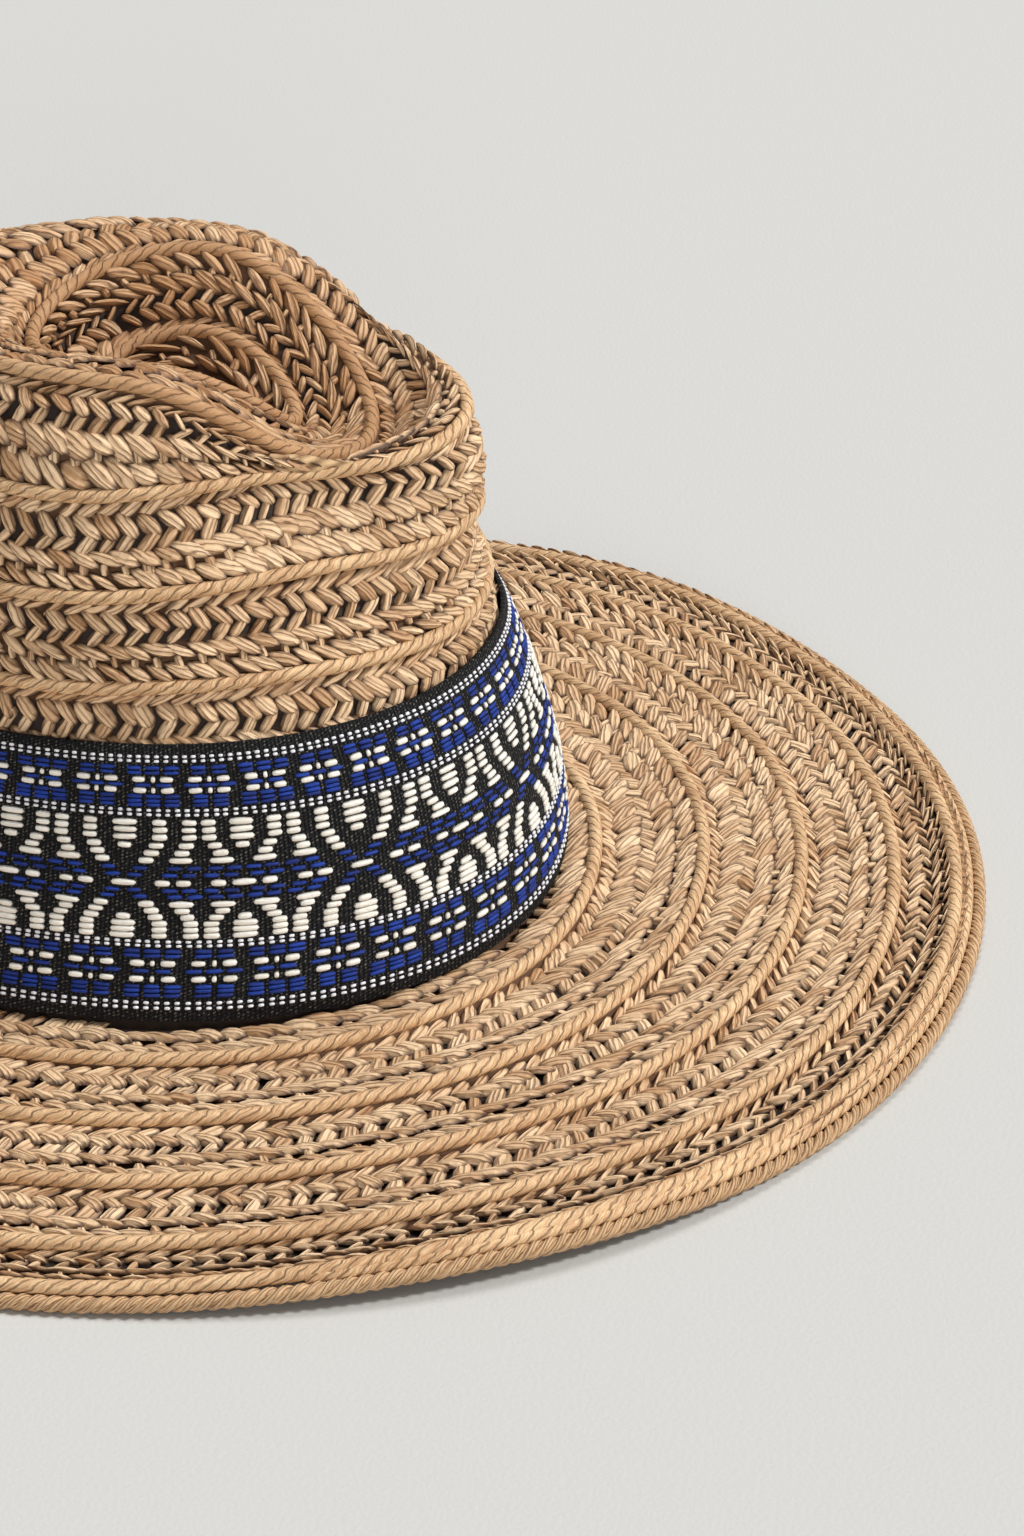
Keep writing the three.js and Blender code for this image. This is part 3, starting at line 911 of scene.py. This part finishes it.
def ground_strip(name, first, last, steps_per_turn):
    """A closed strip of plait between two places on its run, wide at its face and back."""
    lines = len(PROFILE["across"])

    def shape(along_share, round_share):
        progress = first + (last - first) * along_share
        line, on_face = there_and_back(round_share, lines)
        across = PROFILE["across"][line]
        turn, row = plait_place(progress, across)
        lift = np.where(on_face, PROFILE["lift"][line] - GROUND_DEPTH, -PLAIT_THICKNESS)
        lift = lift + np.where(on_face, 0, lap_height(across) * 0.5)
        points = hat_point(turn, row) + outward_normal(turn, row) * lift[:, None]
        run = np.interp(progress, strip_progress, strip_run)
        return points, np.stack([run, np.where(on_face, across, 2 + across)], axis=-1)

    return mapped_grid(name, int((last - first) * steps_per_turn), 2 * lines, shape, closed=True)


crown_ground = ground_strip("crown_ground", 0.0, CROWN_ROWS + 0.6, 150)
brim_ground = ground_strip("brim_ground", CROWN_ROWS - 0.1, LAST_PROGRESS, 200)
finish_piece("crown_ground", crown_ground, GROUND, "straw", "crown")
finish_piece("brim_ground", brim_ground, GROUND, "straw", "brim")

# %% [markdown]
# ## The cord along the edge
#
# The brim's edge is closed by a cord of three strands laid round each other, sewn on just outside the last
# row and a little lower. Each strand is a grid rolled into a thin tube round a path that winds about the
# cord's middle line. The strands' lower sides are pressed flat where the cord lies on the floor.

# %% Edge cord
CORD_STRANDS, CORD_TWIST, CORD_SIDES, CORD_STEP = 3, 9.5, 6, 0.95
STRAND_SIZE, STRAND_OFFSET = 0.98, 0.82
STRAND_CHART, OVER_FLOOR, CORD_SHADE = 50, 0.02, 0.75
edge_turns = np.linspace(0, 360, 721)
edge_run = distance_along(beside_foot(edge_turns, brim_reach(edge_turns, 1) + CORD_DIAMETER / 2))
cord_pitch = edge_run[-1] / round(edge_run[-1] / CORD_TWIST)


def cord_strand(which):
    def shape(along_share, round_share):
        turn = 360 * along_share
        run = np.interp(turn, edge_turns, edge_run)
        winding = 2 * math.pi * (which / CORD_STRANDS + run / cord_pitch)
        around_strand = 2 * math.pi * round_share
        aside = STRAND_OFFSET * np.cos(winding) + STRAND_SIZE * np.cos(around_strand)
        up = STRAND_OFFSET * np.sin(winding) + STRAND_SIZE * np.sin(around_strand)
        flat = beside_foot(turn, brim_reach(turn, 1) + CLEARANCE + CORD_DIAMETER / 2 + aside)
        height = np.maximum(CORD_DIAMETER / 2 + up, OVER_FLOOR) + edge_wave(turn)
        chart = np.stack([run + STRAND_CHART * which, (around_strand - winding) * STRAND_SIZE], axis=-1)
        return np.concatenate([flat, height[:, None]], axis=-1), chart

    return mapped_grid(f"strand_{which}", round(edge_run[-1] / CORD_STEP), CORD_SIDES, shape)


cord_work = bmesh.new()
for which in range(CORD_STRANDS):
    strand = cord_strand(which)
    cord_work.from_mesh(strand)
    bpy.data.meshes.remove(strand)
cord_mesh = bpy.data.meshes.new("edge_cord")
cord_work.to_mesh(cord_mesh)
cord_work.free()
for title, value in (("tone", 0.5), ("shade", CORD_SHADE)):
    attribute = cord_mesh.attributes.new(title, "FLOAT", "POINT")
    attribute.data.foreach_set("value", np.full(len(cord_mesh.vertices), value, np.float32))
finish_piece("edge_cord", cord_mesh, CORD_STRAW, "straw_cord", "brim_cord")
print("edge cord", round(float(edge_run[-1])), "mm round the brim")

# %% [markdown]
# ## The ribbon
#
# The band is a wide ribbon with a black ribbed ground. It is a strip of cloth drawn tight round the
# crown, so it is a closed strip just under a millimetre thick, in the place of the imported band. Its ribs
# and the pale specks of its warp are in the finish, on a map that counts millimetres along and across.

# %% Ribbon finish
RIB_SPACING, PICK_SPACING = 0.95, 0.75


def black_ribbon(name):
    finish = Finish(name, Roughness=0.9, Specular_IOR_Level=0.25)
    chart = finish.chart()
    run, over = finish.directions(chart)
    ribs = (run * (2 * math.pi / RIB_SPACING)).wave()
    picks = (over * (2 * math.pi / PICK_SPACING) + run * (math.pi / RIB_SPACING)).wave()
    specks = finish.noise(finish.stretched(chart, (1.3, 1.6, 1)), 1, 2)
    pale = (specks.between(0.5, 0.62) * ribs * picks) * 0.85
    weave = ribs * 0.6 + picks * 0.5
    black = finish.mix(weave.between(0.2, 1.0), colour(5, 5, 7), colour(27, 27, 30))
    return finish.finish(
        Base_Color=finish.mix(pale, black, colour(128, 124, 112)),
        Normal=finish.bump(weave, 0.00045, 0.9),
    )


RIBBON = black_ribbon("black_ribbed_ribbon")

# %% Ribbon strip
RIBBON_SEAT, RIBBON_THICKNESS = LAP_STEP + CLEARANCE, 0.9
RIBBON_COLUMNS, RIBBON_LINES = 240, 9
ribbon_turns = np.linspace(0, 360, 1441)
ribbon_run = distance_along(crown_point(ribbon_turns, row_above(ribbon_turns, BAND_FOOT + BAND_WIDTH / 2)))
RIBBON_LENGTH = ribbon_run[-1]


def on_ribbon(run, down, out):
    """A point on the ribbon: run along it, down from its top edge, and out from its face."""
    turn = np.interp(np.mod(run, RIBBON_LENGTH), ribbon_run, ribbon_turns)
    row = row_above(turn, BAND_TOP - down)
    face = RIBBON_SEAT + RIBBON_THICKNESS
    return crown_point(turn, row) + outward_normal(turn, row) * (face + out)[:, None]


def ribbon_strip(along_share, round_share):
    line, outside = there_and_back(round_share, RIBBON_LINES)
    run, down = RIBBON_LENGTH * along_share, BAND_WIDTH * line / (RIBBON_LINES - 1)
    points = on_ribbon(run, down, np.where(outside, 0, -RIBBON_THICKNESS))
    return points, np.stack([run, down], axis=-1)


ribbon_mesh = mapped_grid("ribbon", RIBBON_COLUMNS, 2 * RIBBON_LINES, ribbon_strip)
ribbon = finish_piece("ribbon", ribbon_mesh, RIBBON, "band_ribbon", "hat_band")
print("ribbon length", round(float(RIBBON_LENGTH)), "mm")

# %% [markdown]
# ## The pattern of the ribbon
#
# Where the pattern shows, yarns float over a few threads of the ground before they dive again. Each float
# is a small raised bar, so the pattern is charted as a weaver would chart it: one entry for each line of
# floats, with their places along one repeat. Half a repeat is charted, and its mirror image completes it.

# %% Floats
REPEATS, REPEAT = 10, 53.7
HALF = REPEAT / 2
FLOAT_UNDER = 0.3
FLOAT_BARS = {"long": Leaf(6, 5, 0.22, FLOAT_UNDER), "short": Leaf(5, 4, 0.2, FLOAT_UNDER)}


def mirrored(places):
    """Half a repeat with its mirror image. A float on either mirror line stays single."""
    return list(places) + [(REPEAT - x, width) for x, width in places if 0 < x < HALF]


def blocks(*offsets_by_group, width):
    """Floats at offsets from the middle of each quarter of the repeat. The groups take turns."""
    quarter = REPEAT / 4
    return [((k + 0.5) * quarter + x, width) for k in range(4) for x in offsets_by_group[k % 2]]


EYE, LONG, SHORT, DOT, DASH, DASHES = 5.8, 3.6, 3.4, 1.1, 1.35, 24
ROW_OF_DASHES = [((k + 0.5) * REPEAT / DASHES, DASH) for k in range(DASHES)]
COLUMNS = [(7.5, LONG), (12.0, LONG), (18.75, LONG)]
EYES = [(0, EYE), (HALF, EYE)]
FAR_BLOCKS, NEAR_BLOCKS = (-4.4, 0, 4.4), (-2.4, 2.4)
BLUE_BLOCKS = blocks(FAR_BLOCKS, NEAR_BLOCKS, width=3.9)
BLUE_LINE = blocks(NEAR_BLOCKS, FAR_BLOCKS, width=3.9)
LONG_DOT_LONG = blocks((-3.35, 3.35), (-3.35, 3.35), width=SHORT) + blocks((0,), (0,), width=DOT)
STEP_IN = mirrored([(0, SHORT), (HALF, SHORT), (6.3, LONG), (12.8, LONG), (19.7, LONG)])
STEP_ON = mirrored([(5.1, LONG), (13.8, LONG), (20.7, LONG)])
FLARE = mirrored([(4.8, EYE), (14.0, EYE), (21.8, LONG)])
UPRIGHT = mirrored(EYES + COLUMNS)
UPPER_BLUE = mirrored([(2.2, LONG), (6.4, LONG), (11.0, LONG), (15.4, LONG), (23.2, LONG)])
LOWER_BLUE = mirrored([(2.9, LONG), (7.3, LONG), (12.2, LONG), (16.6, LONG), (24.4, LONG)])
CENTRE = mirrored([(0, 5.6), (5.7, LONG), (13.6, LONG), (18.2, LONG), (HALF, EYE)])

# Lines of floats from the ribbon's top edge: how far down in millimetres, the yarn, and the places
CHART = [
    (2.5, "white", ROW_OF_DASHES), (3.5, "white", ROW_OF_DASHES),
    (5.0, "blue", BLUE_BLOCKS), (6.1, "blue", BLUE_BLOCKS),
    (7.6, "ivory", LONG_DOT_LONG), (8.9, "blue", BLUE_LINE), (10.1, "ivory", LONG_DOT_LONG),
    (11.4, "blue", BLUE_BLOCKS), (12.4, "blue", BLUE_BLOCKS), (13.3, "blue", BLUE_BLOCKS),
    (14.5, "white", ROW_OF_DASHES), (15.5, "white", ROW_OF_DASHES),
    (17.2, "ivory", UPRIGHT), (18.8, "ivory", UPRIGHT), (20.4, "ivory", UPRIGHT),
    (22.2, "ivory", STEP_IN), (23.8, "ivory", STEP_ON), (25.4, "ivory", FLARE),
    (27.1, "blue", UPPER_BLUE), (28.6, "blue", LOWER_BLUE),
    (30.3, "ivory", CENTRE),
    (31.9, "blue", LOWER_BLUE), (33.2, "blue", UPPER_BLUE),
    (34.8, "ivory", FLARE), (36.2, "ivory", STEP_ON), (37.6, "ivory", STEP_IN),
    (39.0, "ivory", UPRIGHT), (40.3, "ivory", UPRIGHT), (41.6, "ivory", UPRIGHT),
    (42.9, "white", ROW_OF_DASHES), (43.8, "white", ROW_OF_DASHES),
    (45.0, "blue", BLUE_BLOCKS), (46.0, "blue", BLUE_BLOCKS),
    (47.6, "ivory", LONG_DOT_LONG), (49.3, "blue", BLUE_LINE), (51.0, "ivory", LONG_DOT_LONG),
    (52.6, "blue", BLUE_BLOCKS), (53.5, "blue", BLUE_BLOCKS), (54.5, "blue", BLUE_BLOCKS),
    (56.1, "white", ROW_OF_DASHES), (57.2, "white", ROW_OF_DASHES),
]
YARNS = {
    "blue": dict(width=1.05, height=0.45),
    "ivory": dict(width=1.52, height=0.6),
    "white": dict(width=0.82, height=0.42),
}
PATTERN_START, OVER_RIBBON = 6.3, 0.02


def lay_floats(down, yarn, places):
    """Template, points, charts, tones and shades of one line of floats, all round the ribbon."""
    bar = FLOAT_BARS["short" if yarn == "white" else "long"]
    bar_x, bar_y, bar_z = bar.points.T
    stretch = RIBBON_LENGTH / REPEATS / REPEAT
    size = YARNS[yarn]
    starts = np.arange(REPEATS)[:, None] * REPEAT
    middle = ((starts + np.array([x for x, _ in places])) * stretch + PATTERN_START).ravel()
    length = np.tile([width for _, width in places], REPEATS) * stretch
    count = len(middle)
    middle = middle + chance.normal(0, 0.06, count)
    length = length * (1 + chance.normal(0, 0.03, count))
    height = size["height"] * (1 + chance.normal(0, 0.08, count))
    x0 = bar_x * length[:, None] / 2
    y0 = bar_y * size["width"] / 2 * (1 + chance.normal(0, 0.05, count))[:, None]
    lean = np.radians(chance.normal(0, 1.2, count))[:, None]
    run = middle[:, None] + x0 - y0 * lean
    over = down + y0 + x0 * lean
    out = bar_z * height[:, None] + OVER_RIBBON
    points = on_ribbon(run.ravel(), over.ravel(), out.ravel()).reshape(count, -1, 3)
    chart = own_chart(x0, y0)
    tone = np.repeat(chance.beta(*TONES, count)[:, None], len(bar_x), axis=1)
    # Painted shade: each float darkens towards its sides and underside, where it meets the ribbon
    shade = np.clip(bar_z + FLOAT_UNDER, 0, 1)
    return bar, points, chart, tone, np.tile(shade, (count, 1))


def yarn_finish(name, pale, deep, shadow):
    finish = Finish(name, Specular_IOR_Level=0.35)
    fibres = finish.noise(finish.stretched(finish.chart(), (0.45, 6.5, 1)), 1, 2)
    base = finish.mix((finish.attribute("tone") * 0.5 + fibres).between(0.35, 1.1), deep, pale)
    return finish.finish(
        # Painted shade: the shade attribute mixes each float towards its shadow colour at its low sides
        Base_Color=finish.mix(finish.attribute("shade") * 0.6 + 0.4, shadow, base),
        Roughness=fibres * 0.2 + 0.5,
        Normal=finish.bump(fibres, 0.0003, 0.9),
    )


YARN_FINISHES = {
    "blue": yarn_finish("blue_yarn", colour(22, 62, 160), colour(6, 22, 84), colour(3, 6, 22)),
    "ivory": yarn_finish("ivory_yarn", colour(252, 248, 238), colour(232, 226, 212), colour(92, 84, 72)),
    "white": yarn_finish("white_yarn", colour(252, 252, 255), colour(230, 232, 240), colour(64, 66, 74)),
}
for yarn, material in YARN_FINISHES.items():
    laid = [lay_floats(down, yarn, places) for down, kind, places in CHART if kind == yarn]
    finish_piece(f"ribbon_{yarn}_floats", leaf_mesh(f"ribbon_{yarn}_floats", laid), material, "band_ribbon")

# %% Finish and sizes
print("triangles in all", sum(pieces.values()))
